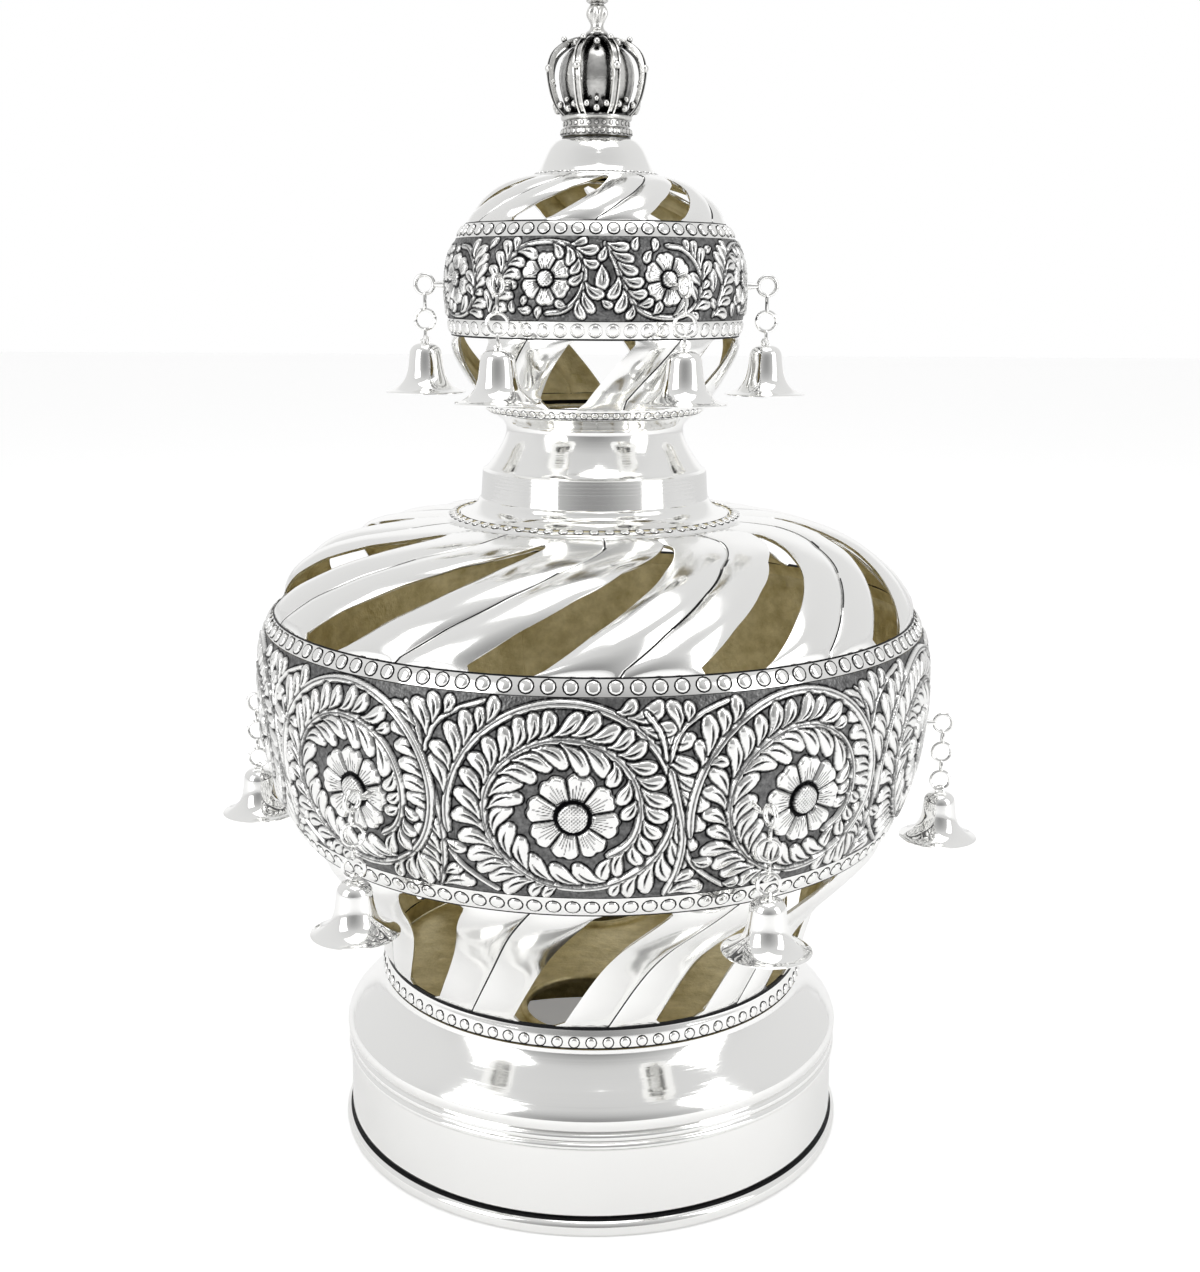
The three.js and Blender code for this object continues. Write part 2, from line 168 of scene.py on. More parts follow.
def spun_silver():
    material, tree, shader = metal("spun silver", (0.93, 0.928, 0.915))
    polish = use(tree, HAND_POLISH, Smoothest=0.07, Roughest=0.13, Waviness=0.04)
    lines = use(tree, LATHE_LINES, Strength=0.12)
    tree.links.new(polish.outputs["Roughness"], shader.inputs["Roughness"])
    tree.links.new(lines.outputs["Normal"], shader.inputs["Normal"])
    return material


def chased_silver():
    """Bright on the raised forms, black in the cut lines, and dimpled dark grey on the ground."""
    material, tree, shader = metal("chased silver", (0.92, 0.918, 0.905), roughness=0.2)
    wire = tree.links.new
    dark = node(tree, "ShaderNodeAttribute", attribute_name="dark")
    ground = use(tree, PUNCHED_GROUND, Depth=0.6)
    lift = node(tree, "ShaderNodeMapRange")
    lift.inputs["From Min"].default_value = 0.35
    lift.inputs["From Max"].default_value = 0.65
    lift.inputs["To Min"].default_value = 1.12
    lift.inputs["To Max"].default_value = 0.8
    wire(ground.outputs["Speckle"], lift.inputs["Value"])
    worn = node(tree, "ShaderNodeMath", operation="MULTIPLY", use_clamp=True)
    wire(dark.outputs["Fac"], worn.inputs[0])
    wire(lift.outputs["Result"], worn.inputs[1])
    colour = node(tree, "ShaderNodeValToRGB")
    stops = colour.color_ramp.elements
    stops[0].position, stops[0].color = 0.0, (0.92, 0.918, 0.905, 1)
    stops[1].position, stops[1].color = 1.0, (0.006, 0.006, 0.007, 1)
    middle = stops.new(0.55)
    middle.color = (0.2, 0.2, 0.2, 1)
    wire(worn.outputs["Value"], colour.inputs["Fac"])
    wire(colour.outputs["Color"], shader.inputs["Base Color"])
    rough = node(tree, "ShaderNodeMapRange")
    rough.inputs["To Min"].default_value = 0.17
    rough.inputs["To Max"].default_value = 0.5
    wire(worn.outputs["Value"], rough.inputs["Value"])
    wire(rough.outputs["Result"], shader.inputs["Roughness"])
    flat = use(tree, HAND_POLISH, Smoothest=0.15, Roughest=0.25, Waviness=0.1)
    blend = node(tree, "ShaderNodeMix", data_type="VECTOR")
    wire(worn.outputs["Value"], blend.inputs["Factor"])
    wire(flat.outputs["Normal"], blend.inputs[4])
    wire(ground.outputs["Normal"], blend.inputs[5])
    wire(blend.outputs[1], shader.inputs["Normal"])
    return material


def cast_silver():
    """Silver as it comes from the mould: softly pitted, and dark in its hollows, partly oxide where polish can't reach
    and partly painted shade, since the darkness follows ambient occlusion.
    """
    material, tree, shader = metal("cast silver", (0.86, 0.855, 0.84), roughness=0.2)
    wire = tree.links.new
    # Ambient occlusion darkens the colour in hollows and under the arches: painted shade, mixed with the oxide that
    # polish leaves there.
    reach = node(tree, "ShaderNodeAmbientOcclusion", samples=8)
    reach.inputs["Distance"].default_value = 0.006
    place = node(tree, "ShaderNodeTexCoord")
    pits = node(tree, "ShaderNodeTexNoise")
    pits.inputs["Scale"].default_value = 700
    pits.inputs["Detail"].default_value = 3
    mottle = node(tree, "ShaderNodeMath", operation="MULTIPLY_ADD")
    mottle.inputs[1].default_value = 0.3
    mottle.inputs[2].default_value = -0.15
    oxide_and_painted_shade = node(tree, "ShaderNodeMath", operation="ADD", use_clamp=True)
    colour = node(tree, "ShaderNodeValToRGB")
    stops = colour.color_ramp.elements
    stops[0].position, stops[0].color = 0.42, (0.012, 0.012, 0.012, 1)
    stops[1].position, stops[1].color = 0.94, (0.76, 0.755, 0.735, 1)
    bump = node(tree, "ShaderNodeBump")
    bump.inputs["Strength"].default_value = 0.25
    bump.inputs["Distance"].default_value = 0.0003
    wire(place.outputs["Object"], pits.inputs["Vector"])
    wire(pits.outputs["Fac"], mottle.inputs[0])
    wire(reach.outputs["AO"], oxide_and_painted_shade.inputs[0])
    wire(mottle.outputs["Value"], oxide_and_painted_shade.inputs[1])
    wire(oxide_and_painted_shade.outputs["Value"], colour.inputs["Fac"])
    wire(colour.outputs["Color"], shader.inputs["Base Color"])
    wire(pits.outputs["Fac"], bump.inputs["Height"])
    wire(bump.outputs["Normal"], shader.inputs["Normal"])
    return material


def dull_gilt():
    """The thin gilding inside the shells: brassy, cloudy and never polished."""
    material, tree, shader = metal("dull gilt", (0.6, 0.5, 0.25), roughness=0.45)
    wire = tree.links.new
    place = node(tree, "ShaderNodeTexCoord")
    clouds = node(tree, "ShaderNodeTexNoise")
    clouds.inputs["Scale"].default_value = 130
    clouds.inputs["Detail"].default_value = 5
    clouds.inputs["Roughness"].default_value = 0.65
    colour = node(tree, "ShaderNodeValToRGB")
    stops = colour.color_ramp.elements
    stops[0].position, stops[0].color = 0.3, (0.55, 0.47, 0.24, 1)
    stops[1].position, stops[1].color = 0.7, (0.93, 0.84, 0.56, 1)
    rough = node(tree, "ShaderNodeMapRange")
    rough.inputs["To Min"].default_value = 0.35
    rough.inputs["To Max"].default_value = 0.55
    bump = node(tree, "ShaderNodeBump")
    bump.inputs["Strength"].default_value = 0.5
    bump.inputs["Distance"].default_value = 0.0012
    wire(place.outputs["Object"], clouds.inputs["Vector"])
    wire(clouds.outputs["Fac"], colour.inputs["Fac"])
    wire(clouds.outputs["Fac"], rough.inputs["Value"])
    wire(clouds.outputs["Fac"], bump.inputs["Height"])
    wire(colour.outputs["Color"], shader.inputs["Base Color"])
    wire(rough.outputs["Result"], shader.inputs["Roughness"])
    wire(bump.outputs["Normal"], shader.inputs["Normal"])
    return material


def blackened_silver():
    material, tree, shader = metal("blackened silver", (0.02, 0.02, 0.021), roughness=0.5)
    ground = use(tree, PUNCHED_GROUND, Depth=0.3)
    span = node(tree, "ShaderNodeMapRange")
    span.inputs["To Min"].default_value = 0.35
    span.inputs["To Max"].default_value = 0.65
    tree.links.new(ground.outputs["Speckle"], span.inputs["Value"])
    tree.links.new(span.outputs["Result"], shader.inputs["Roughness"])
    tree.links.new(ground.outputs["Normal"], shader.inputs["Normal"])
    return material


FLUTED = polished_silver("fluted silver", 0.1, 0.2, 0.12)
BRIGHT = polished_silver("bright silver", 0.05, 0.11, 0.05)
SPUN, CHASED, CAST, GILT, BLACK = (
    spun_silver(), chased_silver(), cast_silver(), dull_gilt(), blackened_silver())


# ---------------------------------------------------------------- making pieces

def spot(radius, degrees, height):
    """A place in metres from mm, by its angle from the front towards +X."""
    turn = math.radians(degrees)
    return Vector((radius * math.sin(turn), -radius * math.cos(turn), height)) * MM


def piece_of(mesh, name, nodes, finishes, sharp=40):
    """Finishes a mesh as a piece that rides on the crown and stands for some of its nodes."""
    for material in finishes:
        mesh.materials.append(material)
    mesh.shade_smooth()
    if sharp:
        mesh.set_sharp_from_angle(angle=math.radians(sharp))
    piece = bpy.data.objects.new(name, mesh)
    bpy.context.collection.objects.link(piece)
    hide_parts(*nodes)
    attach(piece, "root")
    return piece


def keep(bm, name, nodes, finishes, sharp=40):
    mesh = bpy.data.meshes.new(name)
    bm.to_mesh(mesh)
    bm.free()
    return piece_of(mesh, name, nodes, finishes, sharp)


def eased(points, steps=6):
    """A smooth line through points that may lie unevenly."""
    line = np.array(points, float)
    gaps = np.sqrt(np.hypot(*np.diff(line, axis=0).T))
    at = np.concatenate([[0], gaps.cumsum()])
    slopes = np.gradient(line, at, axis=0)
    s = (np.arange(steps) / steps)[:, None]
    runs = [
        (2 * s**3 - 3 * s**2 + 1) * line[i] + (s**3 - 2 * s**2 + s) * gaps[i] * slopes[i]
        + (3 * s**2 - 2 * s**3) * line[i + 1] + (s**3 - s**2) * gaps[i] * slopes[i + 1]
        for i in range(len(gaps))
    ]
    return np.vstack([*runs, line[-1:]])


def wall_line(line, wall=WALL):
    """The same line moved inwards by a wall, for the inner skin of a shell."""
    ahead = np.gradient(line, axis=0)
    ahead /= np.hypot(*ahead.T)[:, None]
    return line - wall * np.stack([ahead[:, 1], -ahead[:, 0]], axis=1)


def turn(bm, outline, steps=144, closed=True):
    """Turns an outline of (radius, height) in mm a full circle about the crown's axis."""
    verts = [bm.verts.new((r * MM, 0, z * MM)) for r, z in outline]
    ends = list(zip(verts, verts[1:]))
    if closed:
        ends.append((verts[-1], verts[0]))
    edges = [bm.edges.new(pair) for pair in ends]
    spun = bmesh.ops.spin(bm, geom=verts + edges, cent=(0, 0, 0), axis=(0, 0, 1),
                          angle=math.tau, steps=steps, use_merge=True)
    bmesh.ops.remove_doubles(bm, verts=bm.verts, dist=1e-6)
    bmesh.ops.recalc_face_normals(bm, faces=bm.faces)
    return spun


def wire_ring(bm, radius, wire, place, stretch=1.0, steps=20, sides=8):
    """A closed ring of wire in the XZ plane of its place, stretched upwards if asked."""
    made = bmesh.ops.create_circle(bm, segments=sides, radius=wire * MM)["verts"]
    bmesh.ops.translate(bm, verts=made, vec=(radius * MM, 0, 0))
    edges = list({edge for vert in made for edge in vert.link_edges})
    before = set(bm.verts) - set(made)
    bmesh.ops.spin(bm, geom=made + edges, cent=(0, 0, 0), axis=(0, 1, 0), angle=math.tau,
                   steps=steps, use_merge=True)
    ring = [vert for vert in bm.verts if vert not in before]
    low = [vert for vert in ring]
    for vert in low:
        vert.co.z += math.copysign((stretch - 1) * radius * MM, vert.co.z) if abs(vert.co.z) > 1e-7 else 0
    bmesh.ops.transform(bm, matrix=place, verts=ring)
    return ring


def copies(bm, mesh, places):
    """Sets a copy of a mesh at each of some places."""
    for place in places:
        placed = mesh.copy()
        placed.transform(place)
        bm.from_mesh(placed)
        bpy.data.meshes.remove(placed)


def facing(line_place, normal_tilt, degrees):
    """A place on the crown whose Z points out of the surface: tilt is from level, upwards."""
    radius, height = line_place
    return (Matrix.Rotation(math.radians(degrees), 4, "Z")
            @ Matrix.Translation((0, -radius * MM, height * MM))
            @ Matrix.Rotation(math.radians(90 - normal_tilt), 4, "X"))


# ---------------------------------------------------------------- the plain turned pieces

def base_collar():
    bm = bmesh.new()
    rim = eased([(88.4, 0), (89.4, 0.5), (90, 1.8), (90, 3.4), (89.5, 4.6), (88.5, 5.4)], 5)
    crease = [(87.5, 5.9), (87.9, 6.5)]
    side = eased([(88, 8), (87.8, 18), (87.8, 29.6)], 4)
    step = eased([(88.3, 30.2), (88.7, 31), (88.5, 31.8), (87.8, 32.4)], 4)
    bead = eased([(87.9, 32.8), (88.4, 33.8), (88.2, 34.9), (87.5, 35.5)], 4)
    shoulder = eased([(87.7, 35.9), (88.5, 37.4), (88.8, 39.4), (88.2, 41.4), (86.4, 43.8),
                      (83.8, 46.6), (80.2, 50.2), (77.2, 53.6), (75.6, 56.2), (75.2, 58)], 6)
    inside = eased([(74, 56.8), (76.4, 52.6), (79.6, 48.8), (83.6, 44.2), (86.2, 40), (86.4, 36),
                    (86.5, 20), (86.5, 4), (86.7, 0)], 4)
    outline = np.vstack([rim, crease, side, step, bead, shoulder, [(70.5, 58), (70.5, 56.8)], inside])
    turn(bm, outline, 192)
    for face in bm.faces:
        middle = face.calc_center_median()
        reach = math.hypot(middle.x, middle.y) / MM
        if face.normal.dot(Vector((middle.x, middle.y, 0)).normalized()) < -0.2 or reach < 74:
            face.material_index = 1
        elif 5.3 < middle.z / MM < 6.4 and reach > 87:
            face.material_index = 2
    keep(bm, "base_collar_spun", ["base_collar"], [SPUN, GILT, BLACK], 30)


def stave_plate():
    bm = bmesh.new()
    bmesh.ops.create_circle(bm, segments=128, radius=72.2 * MM)
    for side in (-46, 46):
        hole = bmesh.ops.create_circle(bm, segments=64, radius=22 * MM)["verts"]
        bmesh.ops.translate(bm, verts=hole, vec=(0, side * MM, 0))
    bmesh.ops.triangle_fill(bm, edges=bm.edges, use_beauty=True)
    grown = bmesh.ops.extrude_face_region(bm, geom=list(bm.faces))
    top = [part for part in grown["geom"] if isinstance(part, bmesh.types.BMVert)]
    bmesh.ops.translate(bm, verts=top, vec=(0, 0, 1.2 * MM))
    bmesh.ops.translate(bm, verts=bm.verts, vec=(0, 0, 58.3 * MM))
    rim = bmesh.new()
    turn(rim, eased([(21.7, 58.5), (21.6, 59.9), (22.1, 60.9), (22.9, 61.1), (23.7, 60.5),
                     (23.9, 59.4)], 4), 72)
    mesh = bpy.data.meshes.new("stave rim")
    rim.to_mesh(mesh)
    rim.free()
    copies(bm, mesh, [Matrix.Translation((0, side * MM, 0)) for side in (-46, 46)])
    bmesh.ops.recalc_face_normals(bm, faces=bm.faces)
    keep(bm, "stave_plate_rimmed", ["stave_plate"], [GILT], 30)


def neck():
    bm = bmesh.new()
    flare = eased([(46, 222.2), (43, 223.2), (40.6, 224.9), (39.4, 227)], 4)
    band = [(38.9, 227.4), (38.7, 229), (38.2, 236.6), (37.7, 236.9), (36.9, 237.3)]
    waist = eased([(36.6, 237.8), (34.8, 240), (32.6, 243.4), (31, 246.4), (30.2, 248.8),
                   (30, 250.8), (30.6, 252.6), (32.2, 254.2), (34.4, 255.6), (36, 256)], 5)
    outside = np.vstack([flare, band, waist])
    inside = wall_line(eased([(46, 222.2), (40.6, 224.9), (38.7, 229), (38.2, 236.6),
                              (32.6, 243.4), (30.1, 250), (31.6, 253.6), (36, 255.8)], 5))
    turn(bm, np.vstack([outside, inside[::-1]]), 160)
    keep(bm, "neck_spun", ["neck"], [SPUN], 30)


def cap():
    bm = bmesh.new()
    outside = eased([(19.6, 333.9), (18.6, 335.2), (17.7, 337), (16.7, 339.2), (15.3, 341.8),
                     (13.5, 343.8), (11.4, 344.9)], 5)
    turn(bm, np.vstack([outside, wall_line(outside)[::-1]]), 112)
    keep(bm, "cap_spun", ["cap"], [SPUN], 30)


# ---------------------------------------------------------------- bead rows

def punched_bead(radius, sides=12):
    """A low round bead in a cut black ring, lying in the XY plane."""
    bm = bmesh.new()
    bmesh.ops.create_circle(bm, cap_ends=True, segments=sides, radius=1)
    face = next(iter(bm.faces))
    if face.normal.z < 0:
        face.normal_flip()
    for thickness, depth, black in (
            (0.16, -0.02, 1), (0.1, 0.16, 0), (0.16, 0.05, 0), (0.22, 0.04, 0)):
        made = bmesh.ops.inset_region(bm, faces=[face], thickness=thickness, depth=depth, use_boundary=True)
        for side in made["faces"]:
            side.material_index = 2 if black else 0
    bmesh.ops.scale(bm, verts=bm.verts, vec=[radius * MM] * 3)
    mesh = bpy.data.meshes.new("punched bead")
    bm.to_mesh(mesh)
    bm.free()
    return mesh


def bead_row(name, node_name, line, middle, tilt, count, radius, lines=0.32):
    """A strip of the shell with a row of punched beads between two fine cut lines."""
    strip = np.array(line, float)
    bm = bmesh.new()
    turn(bm, np.vstack([strip, wall_line(strip)[::-1]]), 168)
    lengths = np.concatenate([[0], np.hypot(*np.diff(strip, axis=0).T).cumsum()])
    for face in bm.faces:
        centre = face.calc_center_median()
        reach = math.hypot(centre.x, centre.y) / MM
        away = np.hypot(strip[:, 0] - reach, strip[:, 1] - centre.z / MM)
        nearest = int(away.argmin())
        if away[nearest] > WALL * 0.8:
            face.material_index = 1
        elif min(lengths[nearest], lengths[-1] - lengths[nearest]) < lines:
            face.material_index = 2
    bead = punched_bead(radius)
    copies(bm, bead, [facing(middle, tilt, 360 * i / count) for i in range(count)])
    keep(bm, name, [node_name], [BRIGHT, GILT, BLACK], 50)


def strip_between(low, high, bow=0.25):
    """A nearly straight line from low to high with fine steps for the cut lines at its ends."""
    low, high = np.array(low, float), np.array(high, float)
    length = np.hypot(*(high - low))
    across = np.array([high[1] - low[1], low[0] - high[0]]) / length
    at = np.concatenate([[0, 0.3 / length, 0.6 / length], np.linspace(0.2, 0.8, 5),
                         [1 - 0.6 / length, 1 - 0.3 / length, 1]])
    return [tuple(low + (high - low) * s + across * bow * 4 * s * (1 - s)) for s in at]


# ---------------------------------------------------------------- fluted and pierced panels

def flutes(name, node_name, line, count, opening, twist, swell, fade, across=40, along=34):
    """The panels between spiral windows, each with two swelled flutes and a cut line between.
    opening and twist give a window's half width and its middle, in degrees, by height."""
    heights = line[:, 1]
    lengths = np.concatenate([[0], np.hypot(*np.diff(line, axis=0).T).cumsum()])
    outward = line - wall_line(line, 1)
    bm = bmesh.new()
    bmesh.ops.create_grid(bm, x_segments=across, y_segments=along, size=0.5)
    for vert in bm.verts:
        u, v = vert.co.x * 2, vert.co.y + 0.5
        edge = abs(u)
        side = math.copysign(0.16 * edge + 0.84 * edge * edge * (3 - 2 * edge), u)
        at = v * lengths[-1]
        radius, height = (np.interp(at, lengths, line[:, k]) for k in (0, 1))
        lift_r, lift_z = (np.interp(at, lengths, outward[:, k]) for k in (0, 1))
        half = 180 / count - np.interp(height, *opening)
        centre = np.interp(height, *twist) + 180 / count
        ends = min(at, lengths[-1] - at) / fade
        pillow = (1 - abs(2 * abs(side) - 1) ** 2.4) * min(1, ends) ** 0.5
        lift = np.interp(height, *swell) * pillow - (0.45 if abs(side) < 0.005 else 0)
        vert.co = spot(radius + lift * lift_r, centre + side * half, height + lift * lift_z)
    groove = 0.9 * MM
    for face in bm.faces:
        middle = face.calc_center_median()
        height = middle.z / MM
        centre = np.interp(height, *twist) + 180 / count
        line_spot = Vector((math.sin(math.radians(centre)), -math.cos(math.radians(centre)), 0))
        flat = Vector((middle.x, middle.y, 0))
        if (flat - line_spot * flat.length).length < groove * 0.35:
            face.material_index = 2
    panel = bmesh.ops.duplicate(bm, geom=list(bm.verts) + list(bm.edges) + list(bm.faces))
    fresh = [part for part in panel["geom"] if isinstance(part, bmesh.types.BMVert)]
    for index in range(1, count):
        bmesh.ops.rotate(bm, verts=fresh, cent=(0, 0, 0),
                         matrix=Matrix.Rotation(math.tau / count, 3, "Z"))
        if index < count - 1:
            panel = bmesh.ops.duplicate(bm, geom=panel["geom"])
            fresh = [part for part in panel["geom"] if isinstance(part, bmesh.types.BMVert)]
    bmesh.ops.remove_doubles(bm, verts=bm.verts, dist=2e-5)
    piece = keep(bm, name, [node_name], [FLUTED, GILT, BLACK, GILT], 0)
    wall = piece.modifiers.new("sheet", "SOLIDIFY")
    wall.thickness, wall.offset = WALL * MM, -1
    wall.material_offset = 1
    edge = piece.modifiers.new("filed edges", "BEVEL")
    edge.width, edge.segments, edge.limit_method = 0.2 * MM, 2, "ANGLE"
    edge.angle_limit = math.radians(60)
    return piece


# ---------------------------------------------------------------- chased ornament

class Chasing:
    """One length of a chased band, laid flat in mm and joined end to end."""

    def __init__(self, length, low, high, cell):
        self.low, self.high = low, high
        self.columns, self.rows = round(length / cell), round((high - low) / cell)
        self.pitch = length / self.columns, (high - low) / self.rows
        self.height = np.zeros((self.rows + 1, self.columns))
        self.dark = np.full((self.rows + 1, self.columns), 0.7)
        self.taken = np.zeros((self.rows + 1, self.columns), bool)

    def around(self, points, reach):
        """The cells within reach of some points, and the x and y of each."""
        (x0, y0), (x1, y1) = points.min(0) - reach, points.max(0) + reach
        i = np.arange(int(x0 // self.pitch[0]), int(x1 // self.pitch[0]) + 2)
        j = np.arange(int((y0 - self.low) // self.pitch[1]), int((y1 - self.low) // self.pitch[1]) + 2)
        j = j[(j >= 0) & (j <= self.rows)]
        x, y = np.meshgrid(i * self.pitch[0], self.low + j * self.pitch[1])
        return np.ix_(j, i % self.columns), x, y

    def beside(self, points, widths, reach=0.9):
        """The cells by a line of changing width: how far outside it, how far along, which side."""
        where, x, y = self.around(points, widths.max() + reach)
        gap, along, side = np.full(x.shape, 99.0), np.zeros(x.shape), np.zeros(x.shape)
        last = len(points) - 1
        for k in range(last):
            (ax, ay), (bx, by) = points[k], points[k + 1]
            dx, dy = bx - ax, by - ay
            t = np.clip(((x - ax) * dx + (y - ay) * dy) / (dx * dx + dy * dy + 1e-9), 0, 1)
            off_x, off_y = x - ax - t * dx, y - ay - t * dy
            far = np.hypot(off_x, off_y)
            outside = far - (widths[k] + (widths[k + 1] - widths[k]) * t)
            nearer = outside < gap
            gap[nearer], along[nearer] = outside[nearer], ((k + t) / last)[nearer]
            side[nearer] = (np.sign(dx * off_y - dy * off_x) * far)[nearer]
        return where, gap, along, side

    def lay(self, where, gap, rise, shade):
        """Raises a form over what lies under it, with a black line cut round it."""
        inside = np.clip(0.5 - gap / 0.3, 0, 1)
        cut = np.clip(1 - np.abs(gap - 0.38) / 0.36, 0, 1)
        height = self.height[where] * (1 - cut) - 0.25 * cut
        dark = self.dark[where] * (1 - cut) + 1.25 * cut
        self.height[where] = height * (1 - inside) + rise * inside
        self.dark[where] = dark * (1 - inside) + shade * inside
        self.taken[where] |= gap < 0.3

    def stem(self, points, half, rise):
        """A stem with a groove down its middle."""
        widths = np.full(len(points), half)
        widths[0] = widths[-1] = half * 0.6
        where, gap, _, side = self.beside(points, widths)
        deep = np.clip(-gap / 0.5, 0, 1)
        groove = np.clip(1.2 - np.abs(side) / (0.22 * half + 0.08), 0, 1) if half > 0.7 else 0 * gap
        self.lay(where, gap, rise * (2 * deep - deep * deep) - 0.4 * groove, 0.75 * groove)

    def leaf(self, root, heading, length, bend, fat, rise, spare=0.12):
        """A comma leaf with a black crescent vein, if there is room for it."""
        s = np.linspace(0, 1, 9)
        turns = heading + bend * s[:-1] ** 1.3
        steps = np.stack([np.cos(turns), np.sin(turns)], axis=1) * length / 8
        points = np.vstack([[root], root + steps.cumsum(0)])
        widths = fat * np.sin(math.pi * s ** 1.75) ** 0.7 + 0.16
        if (points[:, 1] - widths).min() < self.low + 0.3 or (points[:, 1] + widths).max() > self.high - 0.3:
            return False
        column = np.rint(points[3:, 0] / self.pitch[0]).astype(int) % self.columns
        row = np.rint((points[3:, 1] - self.low) / self.pitch[1]).astype(int)
        if self.taken[row, column].any():
            return False
        where, gap, along, side = self.beside(points, widths)
        if self.taken[where][gap < 0.1].mean() > spare:
            return False
        depth = np.clip(-gap / (fat * 0.8), 0, 1)
        width = np.interp(along, s, widths)
        vein_at = -0.15 * width * math.copysign(1, bend)
        taper = np.sin(math.pi * np.clip((along - 0.16) / 0.62, 0, 1))
        vein = np.clip(0.5 + (0.34 * taper * min(1, fat / 1.6) - np.abs(side - vein_at)) / 0.3, 0, 1) * (taper > 0.05)
        self.lay(where, gap, rise * (0.4 + 0.6 * (2 * depth - depth * depth)) - 0.45 * vein, 1.1 * vein)
        return True

    def leaves_along(self, points, half, lengths, fat, rise, dice, every=3.4, sides=(1, -1), spare=0.14):
        """Lets leaves grow from the sides of a stem wherever there is room."""
        run = np.concatenate([[0], np.hypot(*np.diff(points, axis=0).T).cumsum()])
        for side in sides:
            at = 0.6
            while at < run[-1]:
                x, y = (np.interp(at, run, points[:, k]) for k in (0, 1))
                back, ahead = max(0, at - 0.8), min(run[-1], at + 0.8)
                dx, dy = (np.interp(ahead, run, points[:, k]) - np.interp(back, run, points[:, k]) for k in (0, 1))
                heading = math.atan2(dy, dx)
                root = np.array([x, y]) + np.array([-math.sin(heading), math.cos(heading)]) * side * (half + 0.1)
                lean, bend = side * dice.uniform(0.2, 0.7), side * dice.uniform(0.8, 1.9)
                grown = any(
                    self.leaf(root, heading + lean, length, bend, fat * (0.45 + 0.55 * length / lengths[0]), rise, spare)
                    for length in lengths)
                at += every if grown else 0.7

    def leaves_between(self, count, lengths, fat, rise, dice):
        """Fills the gaps that are left with small loose leaves."""
        for _ in range(count):
            root = np.array([dice.uniform(0, self.columns * self.pitch[0]), dice.uniform(self.low, self.high)])
            heading, bend = dice.uniform(-math.pi, math.pi), dice.choice([1.0, -1.0])
            for length in lengths:
                if self.leaf(root, heading, length, bend, fat * (0.5 + 0.5 * length / lengths[0]), rise, 0.0):
                    break

    def flower(self, centre, tip, notch, petals, button, turned, rise):
        """Notched petals with fine radial lines, round a dotted button in a black ring."""
        middle = np.array([centre], float)
        where, x, y = self.around(middle, tip + 1.2)
        x, y = x - centre[0], y - centre[1]
        far, angle = np.hypot(x, y), np.arctan2(y, x) - math.radians(turned)
        part = (angle * petals / math.tau) % 1 * 2 - 1
        reach = tip - (tip - notch) * np.abs(part) ** 2.6 - 0.05 * tip * np.exp(-(part / 0.2) ** 2)
        arc = math.pi / petals * far
        gap = np.maximum(far - reach, 0.4 - (1 - np.abs(part)) * arc)
        gap = np.maximum(gap, button * 1.16 - far)
        deep = np.clip(-gap / 1.0, 0, 1)
        lines = np.zeros(x.shape)
        for ray, length in ((0, 0.86), (-0.28, 0.74), (0.28, 0.74), (-0.54, 0.68), (0.54, 0.68)):
            lines = np.maximum(lines, np.clip(1.2 - np.abs(part - ray) * arc / 0.17, 0, 1)
                               * (far < tip * length))
        dish = 0.75 + 0.35 * (far / tip) ** 2 - 0.2 * (1 - part ** 2)
        self.lay(where, gap, rise * dish * (2 * deep - deep * deep) - 0.12 * lines, 0.8 * lines)
        hub = far - button * 0.88
        dots = np.clip(1.3 * np.sin(x * 5.2) * np.sin(y * 5.2), 0, 1)
        dome = np.sqrt(np.clip(1 - (far / (button * 1.02)) ** 2, 0, 1))
        self.height[where] = np.where(far < button * 1.16, 0.1, self.height[where])
        self.dark[where] = np.where(far < button * 1.16, 1.2, self.dark[where])
        self.lay(where, hub, rise * (0.45 + 0.75 * dome) - 0.15 * dots, 0.75 * dots)


def swirl(centre, turns, flip=1):
    """A spiral about a centre from (clockwise degrees from the left, radius) pairs."""
    marks = np.array(turns, float)
    angles = np.arange(marks[0, 0], marks[-1, 0] + 1, 4)
    radii = np.interp(angles, marks[:, 0], marks[:, 1])
    radii = np.convolve(np.pad(radii, 3, "edge"), np.ones(7) / 7, "valid")
    turn_by = np.radians(angles)
    return np.stack([centre[0] - radii * np.cos(turn_by), centre[1] + flip * radii * np.sin(turn_by)], axis=1)


def shifted(points, x, steps=8):
    return eased([(px + x, py) for px, py in points], steps)


BULB_RADIUS = 115.2
GLOBE_RADIUS = 50.0


